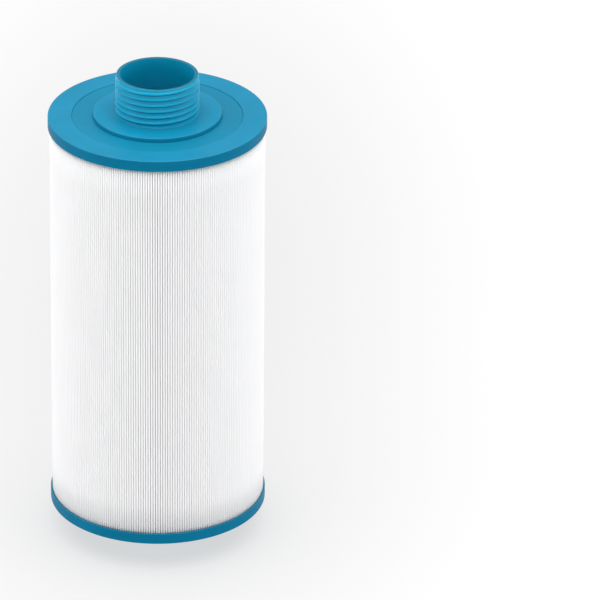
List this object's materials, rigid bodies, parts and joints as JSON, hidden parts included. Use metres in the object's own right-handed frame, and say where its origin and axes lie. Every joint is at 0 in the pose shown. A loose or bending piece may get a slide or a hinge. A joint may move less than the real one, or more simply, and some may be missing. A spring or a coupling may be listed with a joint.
{
  "type": "filter cartridge",
  "caption": "Pleated cylindrical spa filter cartridge with a male-threaded neck and flange on one end cap and a strap handle on the other.",
  "frame": {"origin": "on the cartridge's axis, at the flat outer face of the handle that it stands on", "axes": "+Z along the cartridge's axis, out through the threaded neck; +X along the handle's strap; +Y across the strap, towards the side with the media's seam"},
  "size_m": [0.1254, 0.1254, 0.2877],
  "materials": {
    "neck_abs": "satin",
    "plate_abs": "satin",
    "cap_abs": "satin",
    "handle_abs": "satin",
    "potting_resin": "satin",
    "core_polypropylene": "matte",
    "media_nonwoven": "matte",
    "seam_adhesive": "satin"
  },
  "bodies": {
    "root": {"threaded_neck": "neck_abs", "threaded_end_plate": "plate_abs", "threaded_end_cap": "cap_abs", "threaded_end_potting": "potting_resin", "core_upper": "core_polypropylene", "core_lower": "core_polypropylene", "core_end_plug": "core_polypropylene", "pleated_media": "media_nonwoven", "media_seam": "seam_adhesive", "handle_end_potting": "potting_resin", "handle_end_cap": "cap_abs", "handle_end_plate": "plate_abs", "handle": "handle_abs"}
  },
  "joints": []
}
